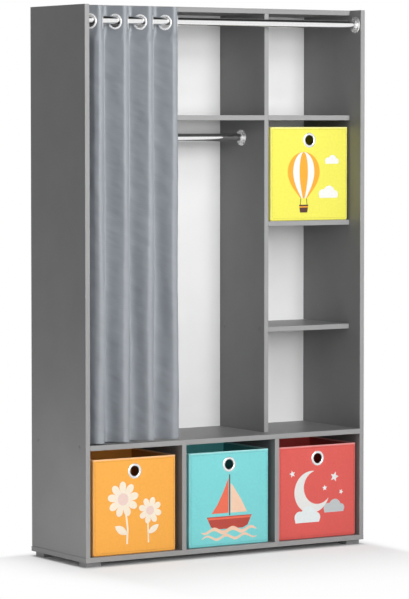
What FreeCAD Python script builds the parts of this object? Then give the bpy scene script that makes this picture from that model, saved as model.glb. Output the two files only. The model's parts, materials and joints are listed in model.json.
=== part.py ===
"""Open wardrobe for a child's room: board carcass, two chrome rails, an eyelet curtain and four fabric boxes.

Millimetres, +Z up. The origin lies on the floor under the middle of the base board.
The open front faces -Y, and +X is to the right of someone standing in front of it.
"""
import FreeCAD, Part
import math
import os

# Boards of the carcass
panel_thickness = 16.0
side_depth = 338.0
base_overhang = 3.0
left_bay_width = 333.0
middle_bay_width = 333.0
right_bay_width = 314.0
lower_bay_height = 330.0
shelf_bay_height = 322.0
edge_radius = 0.8

# Thin back in its grooves, and the strip that joins its two halves
back_thickness = 3.0
back_inset = 10.0
groove_depth = 6.0
groove_play = 0.2
groove_end_play = 0.5
strip_wall = 1.0
strip_width = 14.0
strip_web = 2.0

# Feet
foot_side = 50.0
foot_height = 15.0
foot_inset = 10.0
foot_radius = 2.0

# Curtain rail, clothes rail and their wall flanges
curtain_rail_diameter = 25.0
curtain_rail_drop = 47.0
clothes_rail_diameter = 25.0
clothes_rail_drop = 55.0
clothes_rail_setback = 134.0
rail_wall = 1.2
rail_play = 0.1
flange_plate = 3.0
flange_collar = 5.0
flange_collar_wall = 1.6
flange_rim = 12.4
flange_screw_count = 3

# Curtain cloth and its eyelets
eyelet_count = 8
eyelet_pitch = 45.0
first_eyelet_offset = 20.0
eyelet_play = 1.7
eyelet_band = 6.0
eyelet_margin = 1.0
eyelet_height = 1.7
eyelet_lip = 0.6
eyelet_hub_wall = 1.0
eyelet_half_gap = 0.2
fold_angle = 58.0
cloth_thickness = 1.0
cloth_play = 0.3
curtain_gap = 4.7
curtain_top_gap = 3.0
curtain_floor_gap = 4.0
curtain_hem_spread = 6.0
header_depth = 48.0

# Fabric boxes
box_side_gap = 7.0
box_head_gap = 22.0
box_rear_gap = 1.0
box_proud = 1.0
box_setback = 12.0
box_corner_radius = 3.0
fabric_thickness = 0.8
board_thickness = 2.4
board_corner_gap = 3.0
base_board_thickness = 3.0
base_board_play = 2.5
finger_hole_diameter = 32.0
finger_eyelet_band = 8.0
finger_hole_drop = 42.0

# Assembly screws with their caps
screw_length = 50.0
screw_head_diameter = 10.0
screw_head_height = 3.0
screw_head_rim = 0.6
screw_neck_diameter = 7.0
screw_core_diameter = 5.0
screw_socket = 4.0
screw_socket_depth = 3.0
cap_diameter = 13.0
cap_height = 1.4
cap_edge = 0.4
cap_slope = 1.6
cap_pin_diameter = 3.0
cap_pin_length = 2.5
mid_fixing_inset = 40.0
shelf_fixing_inset = 31.0
rear_fixing_inset = 28.0

# Cam fittings and dowels
cam_diameter = 15.0
cam_height = 12.5
cam_setback = 24.0
cam_slot = 1.6
cam_offset = 32.0
cam_bolt_diameter = 6.0
cam_thread_diameter = 5.0
cam_thread_length = 11.0
dowel_diameter = 8.0
dowel_reach = 16.0
dowel_blind = 12.0
drill_play = 0.1

# Small wood screws of the flanges and feet
wood_screw_diameter = 3.5
wood_screw_head = 7.0
wood_screw_head_height = 2.0
wood_screw_hold = 12.0
foot_screw_recess = 4.0

# Planes that the boards share
width = left_bay_width + middle_bay_width + right_bay_width + 4 * panel_thickness
base_depth = side_depth + base_overhang
x_left = -width / 2
x_right = width / 2
x_in_left = x_left + panel_thickness
x_in_right = x_right - panel_thickness
x_left_divider = x_in_left + left_bay_width
x_right_divider = x_left_divider + panel_thickness + middle_bay_width
y_front = -base_depth / 2
y_rear = y_front + side_depth
y_back = y_rear - back_inset - back_thickness
z_base = foot_height
z_base_top = z_base + panel_thickness
z_mid = z_base_top + lower_bay_height
z_mid_top = z_mid + panel_thickness
shelf_rise = shelf_bay_height + panel_thickness
z_low_shelf = z_mid_top + shelf_bay_height
z_box_shelf = z_low_shelf + shelf_rise
z_hat_shelf = z_box_shelf + shelf_rise
z_top_panel = z_hat_shelf + shelf_rise
z_top = z_top_panel + panel_thickness

# Zigzag of the curtain: straight runs that carry the eyelets, joined by round folds
slant = math.radians(fold_angle)
eyelet_half_depth = cloth_thickness / 2 + cloth_play + eyelet_height
rail_radius = curtain_rail_diameter / 2
eyelet_hole_radius = (rail_radius + eyelet_half_depth * math.cos(slant)) / math.sin(slant) + eyelet_play
eyelet_radius = eyelet_hole_radius + eyelet_band
fold_run = 2 * (eyelet_radius + eyelet_margin)
fold_radius = (eyelet_pitch - fold_run * math.cos(slant)) / (2 * math.sin(slant))
fold_depth = fold_run * math.sin(slant) + 2 * fold_radius * (1 - math.cos(slant)) + cloth_thickness
front_recess = fold_depth + 2 * curtain_gap
y_shelf = y_front + front_recess
y_rail = y_front + front_recess / 2
z_rail = z_top - curtain_rail_drop

# Boxes: one size that fits every bay
shelf_depth = y_back - y_shelf
box_width = min(left_bay_width, middle_bay_width, right_bay_width) - 2 * box_side_gap
box_height = min(lower_bay_height, shelf_bay_height) - box_head_gap
box_depth = shelf_depth - box_rear_gap + box_proud
box_wall = 2 * fabric_thickness + board_thickness

TOLERANCE = 1e-6
TURN = 360.0
RIGHT = FreeCAD.Vector(1, 0, 0)
LEFT = FreeCAD.Vector(-1, 0, 0)
REARWARD = FreeCAD.Vector(0, 1, 0)
FORWARD = FreeCAD.Vector(0, -1, 0)
UP = FreeCAD.Vector(0, 0, 1)

nodes = {}
bores = {}


def vec(x, y, z):
    return FreeCAD.Vector(x, y, z)


def block(low, high):
    """A plain box between its lowest and its highest corner."""
    size = high.sub(low)
    return Part.makeBox(size.x, size.y, size.z, low)


def rod(start, direction, diameter, length):
    """A round bar that starts at a point and runs along a direction."""
    return Part.makeCylinder(diameter / 2, length, start, direction)


def placed(shape, point, direction):
    """A copy of a shape made along +Z, moved to a point and turned along a direction."""
    copy = shape.copy()
    copy.Placement = FreeCAD.Placement(point, FreeCAD.Rotation(UP, direction))
    return copy


def turned(points):
    """A solid of revolution about +Z from its half outline, given as (radius, height) corners."""
    corners = [vec(radius, 0, height) for radius, height in points]
    outline = Part.makePolygon(corners + corners[:1])
    return Part.Face(outline).revolve(vec(0, 0, 0), UP, TURN)


def bore(node, tool):
    """Keeps a hole, groove or notch that a board gets."""
    bores.setdefault(node, []).append(tool)


def panel(low, high, rounded):
    """A board with the long edges of its named narrow faces rounded."""
    board = block(low, high)
    planes = {
        "left": ("x", low.x),
        "right": ("x", high.x),
        "front": ("y", low.y),
        "rear": ("y", high.y),
        "top": ("z", high.z),
    }
    edges = []
    for face in rounded:
        axis, place = planes[face]
        for edge in board.Edges:
            reach = [abs(getattr(corner.Point, axis) - place) for corner in edge.Vertexes]
            if max(reach) < TOLERANCE and edge.Length > panel_thickness + TOLERANCE:
                edges.append(edge)
    return board.makeFillet(edge_radius, edges)


def make_boards():
    """The twelve boards of the carcass, before their holes and grooves."""
    base_rear = y_front + base_depth
    nodes["base_panel"] = panel(
        vec(x_left, y_front, z_base), vec(x_right, base_rear, z_base_top), ["left", "right", "front", "rear"]
    )
    nodes["left_side_panel"] = panel(
        vec(x_left, y_front, z_base_top), vec(x_in_left, y_rear, z_top), ["front", "rear", "top"]
    )
    nodes["right_side_panel"] = panel(
        vec(x_in_right, y_front, z_base_top), vec(x_right, y_rear, z_top), ["front", "rear", "top"]
    )
    nodes["top_panel"] = panel(
        vec(x_in_left, y_shelf, z_top_panel), vec(x_in_right, y_rear, z_top), ["front", "rear"]
    )
    nodes["mid_panel"] = panel(vec(x_in_left, y_front, z_mid), vec(x_in_right, y_back, z_mid_top), ["front"])
    nodes["centre_divider"] = panel(
        vec(x_right_divider, y_shelf, z_mid_top),
        vec(x_right_divider + panel_thickness, y_back - strip_wall, z_top_panel),
        ["front"],
    )
    nodes["hat_shelf_left"] = shelf(x_in_left, x_right_divider, z_hat_shelf)
    x_column = x_right_divider + panel_thickness
    nodes["hat_shelf_right"] = shelf(x_column, x_in_right, z_hat_shelf)
    nodes["box_shelf"] = shelf(x_column, x_in_right, z_box_shelf)
    nodes["lower_shelf"] = shelf(x_column, x_in_right, z_low_shelf)
    nodes["lower_divider_left"] = panel(
        vec(x_left_divider, y_front, z_base_top),
        vec(x_left_divider + panel_thickness, y_back, z_mid),
        ["front"],
    )
    nodes["lower_divider_right"] = panel(
        vec(x_right_divider, y_front, z_base_top),
        vec(x_right_divider + panel_thickness, y_back - strip_wall, z_mid),
        ["front"],
    )


def shelf(x_start, x_end, z_under):
    """A shelf set back behind the curtain, from wall to wall of its bay."""
    return panel(vec(x_start, y_shelf, z_under), vec(x_end, y_back, z_under + panel_thickness), ["front"])


def make_back():
    """Two thin back sheets in grooves, with an H strip between them behind the centre divider."""
    x_strip = x_right_divider + panel_thickness / 2
    reach = groove_depth - groove_end_play
    y_back_rear = y_back + back_thickness
    low_z = z_base_top - reach
    high_z = z_top_panel + reach
    nodes["back_panel_left"] = block(
        vec(x_in_left - reach, y_back, low_z), vec(x_strip - strip_web / 2, y_back_rear, high_z)
    )
    nodes["back_panel_right"] = block(
        vec(x_strip + strip_web / 2, y_back, low_z), vec(x_in_right + reach, y_back_rear, high_z)
    )

    def upright(strip_part, y_start, y_end):
        half = strip_part / 2
        return block(vec(x_strip - half, y_start, z_base_top), vec(x_strip + half, y_end, z_top_panel))

    front_lip = upright(strip_width, y_back - strip_wall, y_back)
    web = upright(strip_web, y_back, y_back_rear)
    rear_lip = upright(strip_width, y_back_rear, y_back_rear + strip_wall)
    nodes["back_joining_strip"] = front_lip.fuse([web, rear_lip]).removeSplitter().Solids[0]
    bore("mid_panel", front_lip)
    groove = block(
        vec(x_in_left - groove_depth, y_back - groove_play, z_base_top - groove_depth),
        vec(x_in_right + groove_depth, y_back_rear + groove_play, z_top_panel + groove_depth),
    )
    for board in ("base_panel", "top_panel", "left_side_panel", "right_side_panel"):
        bore(board, groove)


def assembly_screw(grow):
    """Half outline of a countersunk furniture screw, head at z = 0, made larger by grow for its hole."""
    head = screw_head_diameter / 2 + grow
    neck = screw_neck_diameter / 2 + grow
    core = screw_core_diameter / 2 + grow
    outline = [
        (0, 0),
        (head, 0),
        (head, screw_head_rim),
        (neck, screw_head_height),
        (neck, panel_thickness),
        (core, panel_thickness),
        (core, screw_length + grow),
        (0, screw_length + grow),
    ]
    return turned(outline)


def hex_socket():
    """The six-sided recess in a screw's head."""
    corner = screw_socket / math.sqrt(3)
    sides = 6
    angles = [2 * math.pi * side / sides for side in range(sides + 1)]
    outline = Part.makePolygon([vec(corner * math.cos(a), corner * math.sin(a), 0) for a in angles])
    return Part.Face(outline).extrude(vec(0, 0, screw_socket_depth))


def screw_cap():
    """A low cap with a sloped rim, whose pin sits in the screw's socket; the board's face is z = 0."""
    rim = cap_diameter / 2
    pin = cap_pin_diameter / 2
    outline = [
        (0, -cap_height),
        (rim - cap_slope, -cap_height),
        (rim, -cap_edge),
        (rim, 0),
        (pin, 0),
        (pin, cap_pin_length),
        (0, cap_pin_length),
    ]
    return turned(outline)


def make_assembly_screws():
    """Screws that hold the mid panel, the lower shelf and the base, with caps on the heads that show."""
    body = assembly_screw(0).cut(hex_socket())
    hole = assembly_screw(drill_play)
    cap = screw_cap()
    screws = []
    caps = []

    def add(point, direction, outer, inner, capped):
        screws.append(placed(body, point, direction))
        tool = placed(hole, point, direction)
        bore(outer, tool)
        bore(inner, tool)
        if capped:
            caps.append(placed(cap, point, direction))

    y_rear_fixing = y_back - rear_fixing_inset
    z_mid_axis = z_mid + panel_thickness / 2
    z_low_axis = z_low_shelf + panel_thickness / 2
    for y in (y_front + mid_fixing_inset, y_rear_fixing):
        add(vec(x_left, y, z_mid_axis), RIGHT, "left_side_panel", "mid_panel", True)
        add(vec(x_right, y, z_mid_axis), LEFT, "right_side_panel", "mid_panel", True)
        add(vec(x_left + panel_thickness / 2, y, z_base), UP, "base_panel", "left_side_panel", False)
        add(vec(x_right - panel_thickness / 2, y, z_base), UP, "base_panel", "right_side_panel", False)
        for x, divider in ((x_left_divider, "lower_divider_left"), (x_right_divider, "lower_divider_right")):
            add(vec(x + panel_thickness / 2, y, z_base), UP, "base_panel", divider, False)
    for y in (y_shelf + shelf_fixing_inset, y_rear_fixing):
        add(vec(x_right_divider, y, z_low_axis), RIGHT, "centre_divider", "lower_shelf", True)
        add(vec(x_right, y, z_low_axis), LEFT, "right_side_panel", "lower_shelf", True)
    nodes["assembly_screws"] = Part.makeCompound(screws)
    nodes["screw_caps"] = Part.makeCompound(caps)


def make_cam_fittings():
    """Cam discs under the top panel and the upper shelves, with their bolts in the upright boards."""
    bolts = []
    discs = []

    def add(upright, board, x_face, direction, y, z_under):
        z_axis = z_under + panel_thickness / 2
        face = vec(x_face, y, z_axis)
        away = vec(-direction.x, 0, 0)
        thread = rod(face, away, cam_thread_diameter, cam_thread_length)
        shank = rod(face, direction, cam_bolt_diameter, cam_setback - drill_play)
        bolts.append(thread.fuse(shank).removeSplitter().Solids[0])
        bore(upright, rod(face, away, cam_thread_diameter + 2 * drill_play, cam_thread_length + drill_play))
        shank_way = rod(face, direction, cam_bolt_diameter + 2 * drill_play, cam_setback)
        bore(board, shank_way)
        centre = vec(x_face + direction.x * cam_setback, y, z_under)
        bore(board, rod(centre, UP, cam_diameter + 2 * drill_play, cam_height + drill_play))
        disc = rod(centre, UP, cam_diameter, cam_height).cut(shank_way)
        radius = cam_diameter / 2
        slot = block(
            vec(centre.x - radius, y - cam_slot / 2, z_under),
            vec(centre.x + radius, y + cam_slot / 2, z_under + cam_slot),
        )
        discs.append(disc.cut(slot).Solids[0])

    x_column = x_right_divider + panel_thickness
    for y in (y_shelf + shelf_fixing_inset, y_back - rear_fixing_inset):
        inward = cam_offset if y < (y_shelf + y_back) / 2 else -cam_offset
        add("left_side_panel", "top_panel", x_in_left, RIGHT, y, z_top_panel)
        add("right_side_panel", "top_panel", x_in_right, LEFT, y, z_top_panel)
        add("left_side_panel", "hat_shelf_left", x_in_left, RIGHT, y, z_hat_shelf)
        add("centre_divider", "hat_shelf_left", x_right_divider, LEFT, y, z_hat_shelf)
        for z, board in ((z_hat_shelf, "hat_shelf_right"), (z_box_shelf, "box_shelf")):
            add("centre_divider", board, x_column, RIGHT, y + inward, z)
            add("right_side_panel", board, x_in_right, LEFT, y + inward, z)
    nodes["cam_bolts"] = Part.makeCompound(bolts)
    nodes["cam_discs"] = Part.makeCompound(discs)


def make_dowels():
    """Dowels at the ends of the dividers; those under the centre divider go right through the mid panel."""
    dowels = []

    def add(x, y, z_start, z_end, boards):
        start = vec(x + panel_thickness / 2, y, z_start)
        dowels.append(rod(start, UP, dowel_diameter, z_end - z_start))
        longer = vec(start.x, y, z_start - drill_play)
        hole = rod(longer, UP, dowel_diameter + 2 * drill_play, z_end - z_start + 2 * drill_play)
        for board in boards:
            bore(board, hole)

    for y in (y_shelf + shelf_fixing_inset, y_back - rear_fixing_inset):
        through = ["lower_divider_right", "mid_panel", "centre_divider"]
        low = ["lower_divider_left", "mid_panel"]
        high = ["centre_divider", "top_panel"]
        add(x_right_divider, y, z_mid - dowel_reach, z_mid_top + dowel_reach, through)
        add(x_left_divider, y, z_mid - dowel_reach, z_mid + dowel_blind, low)
        add(x_right_divider, y, z_top_panel - dowel_reach, z_top_panel + dowel_blind, high)
    nodes["dowels"] = Part.makeCompound(dowels)


def wood_screw(grow, hold):
    """Half outline of a small countersunk screw, head at z = 0, made larger by grow for its hole."""
    head = wood_screw_head / 2 + grow
    core = wood_screw_diameter / 2 + grow
    length = wood_screw_head_height + hold + grow
    return turned([(0, 0), (head, 0), (core, wood_screw_head_height), (core, length), (0, length)])


def make_feet():
    """Four square glides under the corners of the base, each held by one sunk screw."""
    feet = []
    screws = []
    reach = foot_inset + foot_side / 2
    hold = foot_height - foot_screw_recess + wood_screw_hold - wood_screw_head_height
    half = foot_side / 2
    for x in (x_left + reach, x_right - reach):
        for y in (y_front + reach, y_front + base_depth - reach):
            foot = block(vec(x - half, y - half, 0), vec(x + half, y + half, z_base))
            foot = foot.makeFillet(foot_radius, [edge for edge in foot.Edges if is_upright(edge)])
            head_point = vec(x, y, foot_screw_recess)
            tool = placed(wood_screw(drill_play, hold), head_point, UP)
            bore("base_panel", tool)
            well = rod(vec(x, y, 0), UP, wood_screw_head + 2 * drill_play, foot_screw_recess)
            feet.append(foot.cut([tool, well]).Solids[0])
            screws.append(placed(wood_screw(0, hold), head_point, UP))
    nodes["feet"] = Part.makeCompound(feet)
    nodes["foot_screws"] = Part.makeCompound(screws)


def is_upright(edge):
    """Whether a straight edge runs along Z."""
    first, last = edge.Vertexes
    return abs(first.X - last.X) < TOLERANCE and abs(first.Y - last.Y) < TOLERANCE


def flange(rail_diameter):
    """A round wall flange along +Z with a collar for the rail's end; the wall's face is z = 0."""
    bore_radius = rail_diameter / 2 + rail_play
    collar = bore_radius + flange_collar_wall
    plate = collar + flange_rim
    outline = [
        (0, 0),
        (plate, 0),
        (plate, flange_plate / 2),
        (plate - flange_plate / 2, flange_plate),
        (collar, flange_plate),
        (collar, flange_plate + flange_collar),
        (bore_radius, flange_plate + flange_collar),
        (bore_radius, flange_plate),
        (0, flange_plate),
    ]
    return turned(outline)


def flange_screw_points(rail_diameter):
    """Where the screws of a flange lie round its collar, in the plane of the plate."""
    circle = rail_diameter / 2 + rail_play + flange_collar_wall + flange_rim / 2
    step = 2 * math.pi / flange_screw_count
    return [(circle * math.sin(step * n), circle * math.cos(step * n)) for n in range(flange_screw_count)]


def make_rail(name, rail_diameter, y, z, walls, screws):
    """A chrome tube between two walls, given by their faces' places, with its flanges and screws."""
    x_start, x_end = walls
    tube_start = vec(x_start + flange_plate, y, z)
    length = x_end - x_start - 2 * flange_plate
    tube = rod(tube_start, RIGHT, rail_diameter, length)
    nodes[name] = tube.cut(rod(tube_start, RIGHT, rail_diameter - 2 * rail_wall, length))
    flanges = []
    hold = wood_screw_hold - wood_screw_head_height
    for x, direction in ((x_start, RIGHT), (x_end, LEFT)):
        away = vec(-direction.x, 0, 0)
        holes = []
        for across, up in flange_screw_points(rail_diameter):
            head_point = vec(x + direction.x * flange_plate, y + across, z + up)
            screws.append(placed(wood_screw(0, hold), head_point, away))
            holes.append(placed(wood_screw(drill_play, hold), head_point, away))
        for hole in holes:
            bore(walls[x], hole)
        flanges.append(placed(flange(rail_diameter), vec(x, y, z), direction).cut(holes).Solids[0])
    nodes[name + "_flanges"] = Part.makeCompound(flanges)


def make_rails():
    """The curtain rail across the whole front and the clothes rail in the hanging bay."""
    screws = []
    y_clothes = y_shelf + clothes_rail_setback
    z_clothes = z_hat_shelf - clothes_rail_drop
    outer_walls = {x_in_left: "left_side_panel", x_in_right: "right_side_panel"}
    hanging_walls = {x_in_left: "left_side_panel", x_right_divider: "centre_divider"}
    make_rail("curtain_rail", curtain_rail_diameter, y_rail, z_rail, outer_walls, screws)
    make_rail("clothes_rail", clothes_rail_diameter, y_clothes, z_clothes, hanging_walls, screws)
    nodes["flange_screws"] = Part.makeCompound(screws)


def eyelet_halves(hole, rim, stack):
    """The two halves of an eyelet about +Z, round cloth centred on z = 0; the first half has the hub."""
    face = stack / 2
    edge = face + eyelet_lip
    crown = face + eyelet_height
    middle = (hole + rim) / 2
    hub = hole + eyelet_hub_wall
    hub_end = -face + eyelet_half_gap
    front_dome = Part.Arc(vec(hole, 0, edge), vec(middle, 0, crown), vec(rim, 0, edge))
    front_corners = [
        vec(rim, 0, edge),
        vec(rim, 0, face),
        vec(hub, 0, face),
        vec(hub, 0, hub_end),
        vec(hole, 0, hub_end),
        vec(hole, 0, edge),
    ]
    rear_dome = Part.Arc(vec(hole, 0, -edge), vec(middle, 0, -crown), vec(rim, 0, -edge))
    rear_corners = [vec(rim, 0, -edge), vec(rim, 0, -face), vec(hole, 0, -face), vec(hole, 0, -edge)]
    halves = []
    for dome, corners in ((front_dome, front_corners), (rear_dome, rear_corners)):
        sides = [Part.makeLine(a, b) for a, b in zip(corners, corners[1:])]
        halves.append(Part.Face(Part.Wire([dome.toShape()] + sides)).revolve(vec(0, 0, 0), UP, TURN))
    return halves


def eyelet_drop():
    """How far an eyelet's centre hangs under the rail's, where the slanted hole first meets the rail."""
    steps = 48
    rooms = []
    for step in range(steps + 1):
        across = rail_radius * step / steps
        slanted = (across + eyelet_half_depth * math.cos(slant)) / math.sin(slant)
        rooms.append(math.sqrt(eyelet_hole_radius**2 - slanted**2) - math.sqrt(rail_radius**2 - across**2))
    return min(rooms) - cloth_play


def fold_path(pitch, offset, z):
    """One face of the folded cloth from above: straight runs through the eyelets, round folds between."""
    edges = []
    x_first = x_in_left + first_eyelet_offset
    run = (pitch - 2 * fold_radius * math.sin(slant)) / math.cos(slant)
    last_end = None
    for number in range(eyelet_count):
        way = 1 if number % 2 else -1
        along = vec(math.cos(slant), way * math.sin(slant), 0)
        beside = vec(-along.y, along.x, 0)
        centre = vec(x_first + number * pitch, y_rail, z).add(beside.multiply(offset))
        start = centre.sub(vec(along.x, along.y, 0).multiply(run / 2))
        end = centre.add(vec(along.x, along.y, 0).multiply(run / 2))
        if last_end is not None:
            bend = fold_radius - way * offset
            crown = vec((last_end.x + start.x) / 2, start.y - way * bend * (1 - math.cos(slant)), z)
            edges.append(Part.Arc(last_end, crown, start).toShape())
        edges.append(Part.makeLine(start, end))
        last_end = end
    return edges


def fold_outline(pitch, z):
    """The closed section of the folded cloth at one height."""
    one_side = fold_path(pitch, cloth_thickness / 2, z)
    other_side = fold_path(pitch, -cloth_thickness / 2, z)
    first_cap = Part.makeLine(other_side[0].Vertexes[0].Point, one_side[0].Vertexes[0].Point)
    last_cap = Part.makeLine(one_side[-1].Vertexes[-1].Point, other_side[-1].Vertexes[-1].Point)
    return Part.Wire(Part.__sortEdges__([first_cap] + one_side + [last_cap] + other_side))


def make_curtain():
    """The curtain in its gathered folds, hung by eyelets in the straight runs of the cloth."""
    z_eyelet = z_rail - eyelet_drop()
    z_hem = z_mid_top + curtain_floor_gap
    z_header = z_eyelet - header_depth
    z_cloth_top = z_top - curtain_top_gap
    hem_pitch = eyelet_pitch + curtain_hem_spread / (eyelet_count - 1)
    sections = [
        fold_outline(hem_pitch, z_hem),
        fold_outline(eyelet_pitch, z_header),
        fold_outline(eyelet_pitch, z_cloth_top),
    ]
    cloth = Part.makeLoft(sections, True, True)
    hub_radius = eyelet_hole_radius + eyelet_hub_wall
    halves = eyelet_halves(eyelet_hole_radius, eyelet_radius, cloth_thickness + 2 * cloth_play)
    holes = []
    for number in range(eyelet_count):
        way = 1 if number % 2 else -1
        normal = vec(math.sin(slant), -way * math.cos(slant), 0)
        centre = vec(x_in_left + first_eyelet_offset + number * eyelet_pitch, y_rail, z_eyelet)
        start = centre.sub(vec(normal.x, normal.y, 0).multiply(eyelet_half_depth))
        holes.append(rod(start, normal, 2 * (hub_radius + cloth_play), 2 * eyelet_half_depth))
        eyelet = [placed(half, centre, normal) for half in halves]
        nodes["curtain_eyelet_" + str(number + 1)] = Part.makeCompound(eyelet)
    nodes["curtain_cloth"] = cloth.cut(holes).Solids[0]


def rounded_tray(x, y, inset, z_low, z_high):
    """An upright block with round corners: the box's outline drawn in by an inset."""
    half = box_width / 2 - inset
    body = block(vec(x - half, y + inset, z_low), vec(x + half, y + box_depth - inset, z_high))
    radius = max(box_corner_radius - inset, fabric_thickness)
    return body.makeFillet(radius, [edge for edge in body.Edges if is_upright(edge)])


def make_box(colour, x, y, z):
    """A fabric box: cover, four stiffening boards, lining with a rim, loose base board and finger eyelet."""
    prefix = colour + "_box_"
    inner = fabric_thickness + board_thickness
    z_rim = z + box_height - fabric_thickness
    hole_rod_length = 2 * box_wall
    hole_point = vec(x, y - box_wall / 2, z + box_height - finger_hole_drop)
    hub = finger_hole_diameter / 2 + eyelet_hub_wall
    hole = rod(hole_point, REARWARD, 2 * (hub + drill_play), hole_rod_length)

    inside = rounded_tray(x, y, fabric_thickness, z + fabric_thickness, z_rim)
    nodes[prefix + "cover"] = rounded_tray(x, y, 0, z, z_rim).cut([inside, hole]).Solids[0]

    half = box_width / 2
    margin = inner + board_corner_gap
    z_low = z + fabric_thickness
    boards = []
    for y_low in (y + fabric_thickness, y + box_depth - inner):
        low = vec(x - half + margin, y_low, z_low)
        boards.append(block(low, vec(x + half - margin, y_low + board_thickness, z_rim)).cut(hole).Solids[0])
    for x_low in (x - half + fabric_thickness, x + half - inner):
        low = vec(x_low, y + margin, z_low)
        boards.append(block(low, vec(x_low + board_thickness, y + box_depth - margin, z_rim)))
    nodes[prefix + "wall_boards"] = Part.makeCompound(boards)

    z_inside = z + 2 * fabric_thickness
    shell = rounded_tray(x, y, inner, z_low, z_rim + fabric_thickness)
    rim = rounded_tray(x, y, 0, z_rim, z_rim + fabric_thickness)
    hollow = rounded_tray(x, y, box_wall, z_inside, z_rim + fabric_thickness)
    nodes[prefix + "lining"] = shell.fuse(rim).cut([hollow, hole]).removeSplitter().Solids[0]

    nodes[prefix + "base_board"] = rounded_tray(
        x, y, box_wall + base_board_play, z_inside, z_inside + base_board_thickness
    )

    rim_radius = finger_hole_diameter / 2 + finger_eyelet_band
    centre = vec(x, y + box_wall / 2, hole_point.z)
    halves = eyelet_halves(finger_hole_diameter / 2, rim_radius, box_wall)
    nodes[prefix + "eyelet"] = Part.makeCompound([placed(half, centre, FORWARD) for half in halves])


def make_boxes():
    """One box in the shelf column, and one in each of the three bays at the bottom."""
    y_lower = y_front + box_setback
    right_middle = x_in_right - right_bay_width / 2
    make_box("yellow", right_middle, y_shelf - box_proud, z_box_shelf + panel_thickness)
    make_box("orange", x_in_left + left_bay_width / 2, y_lower, z_base_top)
    make_box("turquoise", x_right_divider - middle_bay_width / 2, y_lower, z_base_top)
    make_box("red", right_middle, y_lower, z_base_top)


make_boards()
make_back()
make_assembly_screws()
make_cam_fittings()
make_dowels()
make_feet()
make_rails()
make_curtain()
make_boxes()

for name, tools in bores.items():
    nodes[name] = nodes[name].cut(tools).Solids[0]

os.makedirs("parts", exist_ok=True)
for name, shape in nodes.items():
    shape.exportStep("parts/" + name + ".step")
    print(name, len(shape.Solids), round(shape.Volume), shape.isValid())
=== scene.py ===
import json
import math

import bmesh
import bpy
import numpy as np
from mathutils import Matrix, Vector, noise


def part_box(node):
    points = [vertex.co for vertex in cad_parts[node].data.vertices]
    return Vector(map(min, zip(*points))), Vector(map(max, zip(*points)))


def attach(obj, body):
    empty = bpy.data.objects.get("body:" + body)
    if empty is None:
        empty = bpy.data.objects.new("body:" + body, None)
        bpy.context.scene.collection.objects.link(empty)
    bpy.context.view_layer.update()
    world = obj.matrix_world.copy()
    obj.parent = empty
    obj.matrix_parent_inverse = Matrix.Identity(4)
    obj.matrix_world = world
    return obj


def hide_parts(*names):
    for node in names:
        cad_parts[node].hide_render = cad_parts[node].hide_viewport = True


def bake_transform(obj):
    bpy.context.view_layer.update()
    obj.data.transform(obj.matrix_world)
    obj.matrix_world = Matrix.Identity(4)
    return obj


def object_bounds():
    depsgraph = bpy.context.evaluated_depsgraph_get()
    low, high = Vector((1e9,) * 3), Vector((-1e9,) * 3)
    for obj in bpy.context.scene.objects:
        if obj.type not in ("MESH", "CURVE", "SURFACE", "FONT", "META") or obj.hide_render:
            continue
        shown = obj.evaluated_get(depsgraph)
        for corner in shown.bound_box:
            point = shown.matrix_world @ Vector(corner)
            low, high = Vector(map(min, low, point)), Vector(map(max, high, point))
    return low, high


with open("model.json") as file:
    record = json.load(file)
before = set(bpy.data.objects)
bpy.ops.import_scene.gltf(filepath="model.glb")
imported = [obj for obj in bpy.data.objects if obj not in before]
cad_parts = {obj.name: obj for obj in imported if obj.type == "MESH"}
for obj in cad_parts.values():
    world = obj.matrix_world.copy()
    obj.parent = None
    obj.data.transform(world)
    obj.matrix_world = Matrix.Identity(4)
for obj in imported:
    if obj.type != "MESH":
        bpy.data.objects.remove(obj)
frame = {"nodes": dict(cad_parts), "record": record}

CAD_LOW, CAD_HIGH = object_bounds()
MM = 0.001
NEAR = 0.1 * MM
WELD = 0.01 * MM
FACING_UP = 0.9
FACING_SIDEWAYS = 0.1
QUARTER_TURN = (math.pi / 2, 0, 0)

# Camera
CAMERA_PLACE = (-5.3342, -8.4085, 1.3745)
CAMERA_YAW = 0.56685
CAMERA_PITCH = -0.05727
CAMERA_LENS = 187.72
CAMERA_SENSOR = 36.0

# Curtain: seen from above, flat runs through the eyelets that open into waves below the header
EYELET_COUNT = 8
EYELET_NODES = ["curtain_eyelet_" + str(number + 1) for number in range(EYELET_COUNT)]
EYELET_PITCH = 45.0 * MM
EYELET_HOLE = 20.4 * MM
EYELET_CLEAR = 21.0 * MM
HOLE_RIM = 1.15 * EYELET_CLEAR
FLAT_RUN = 50.0 * MM
FOLD_BEND = 22.1 * MM
HALF_WAVE = FLAT_RUN + FOLD_BEND
FLAT_WIDTH = EYELET_COUNT * FLAT_RUN + (EYELET_COUNT - 1) * FOLD_BEND
HEADER_HEIGHT = 74.0 * MM
HEADER_SHARE = 0.2
OPENING_HEIGHT = 34.0 * MM
CLOTH_THICKNESS = 1.0 * MM
CLOTH_ROWS = 120
COLUMNS_PER_EYELET = 32
HEM_PITCH = 45.05 * MM
HEM_THICKNESS = 2.0 * MM
HEM_HEIGHT = 28.0 * MM

# One wave of the open cloth: where it bends, in millimetres along it, and how it heads there below the
# header and at the hem, as shares of the steepest. From its last bend to the next wave's first it bows.
WAVE_LENGTH = 2 * HALF_WAVE
WAVE_BENDS = (
    (33.0, -0.95, -0.70),
    (38.0, -0.90, -0.45),
    (43.0, -0.25, -0.30),
    (54.0, 0.00, -0.15),
    (57.5, 0.95, 0.80),
    (96.0, 1.00, 0.80),
    (103.0, 1.00, 0.20),
    (107.5, 0.50, -0.35),
    (111.5, -0.80, -0.50),
)
BOW_PLACE = 7.0 * MM
BOW_HEADING = (-1.00, -0.85)

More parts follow.
